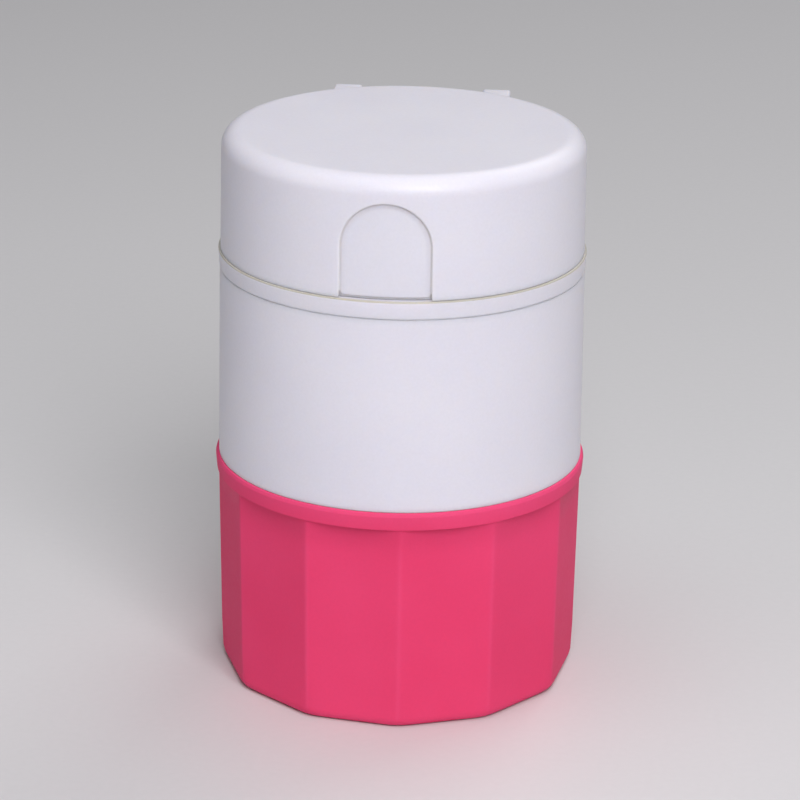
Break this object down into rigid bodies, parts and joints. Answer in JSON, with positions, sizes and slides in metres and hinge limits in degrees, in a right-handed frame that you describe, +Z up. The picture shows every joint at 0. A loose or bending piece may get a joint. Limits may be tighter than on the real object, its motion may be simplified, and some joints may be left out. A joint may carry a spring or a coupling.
{
  "type": "pill splitter",
  "caption": "Stacked pill splitter: flip lid with a blade over a V-shaped cradle, screw-on pill store, crusher head and faceted cup.",
  "frame": {"origin": "centre of the cup's flat base, on the surface the stack stands on", "axes": "+Z up along the stack's axis, -Y towards the thumb panel of the lid, +Y towards the hinge, +X to the right seen from the front"},
  "size_m": [0.0516, 0.0565, 0.0782],
  "materials": {
    "cup_plastic": "satin gloss, moulded",
    "white_plastic": "satin gloss, moulded",
    "divider_plastic": "satin, moulded",
    "cradle_plastic": "satin, moulded",
    "seal_rubber": "matt silicone",
    "grip_rubber": "matt soft rubber",
    "blade_steel": "ground, with a polished bevel",
    "fastener_steel": "bright drawn"
  },
  "bodies": {
    "cup": {"crushing_cup": "cup_plastic"},
    "neck_ring": {"neck_seal": "seal_rubber"},
    "storage": {"storage_body": "white_plastic", "crusher_head": "white_plastic", "storage_divider": "divider_plastic"},
    "head_ring": {"head_seal": "seal_rubber"},
    "cutter_head": {"cutter_base": "white_plastic", "pill_cradle": "cradle_plastic", "pill_grip_left": "grip_rubber", "pill_grip_right": "grip_rubber"},
    "lid": {"flip_lid": "white_plastic", "blade_carrier": "white_plastic", "cutter_blade": "blade_steel", "blade_screw_front": "fastener_steel", "blade_screw_rear": "fastener_steel", "hinge_pin": "fastener_steel"}
  },
  "joints": [
    {"name": "storage_rise", "type": "slide", "parent": "cup", "child": "neck_ring", "axis": [0, 0, 1], "range_m": [0, 0.0301]},
    {"name": "storage_turn", "type": "hinge", "parent": "neck_ring", "child": "storage", "pos_m": [0, 0, 0.03], "axis": [0, 0, 1], "range_deg": [0, 1200]},
    {"name": "head_rise", "type": "slide", "parent": "storage", "child": "head_ring", "axis": [0, 0, 1], "range_m": [0, 0.0101]},
    {"name": "head_turn", "type": "hinge", "parent": "head_ring", "child": "cutter_head", "pos_m": [0, 0, 0.058], "axis": [0, 0, 1], "range_deg": [0, 400]},
    {"name": "lid_open", "type": "hinge", "parent": "cutter_head", "child": "lid", "pos_m": [0, 0.027, 0.061], "axis": [-1, 0, 0], "range_deg": [0, 125]}
  ],
  "couplings": [
    {"joint": "storage_rise", "follows": "storage_turn", "m_per_rad": 0.0014324},
    {"joint": "head_rise", "follows": "head_turn", "m_per_rad": 0.0014324}
  ]
}
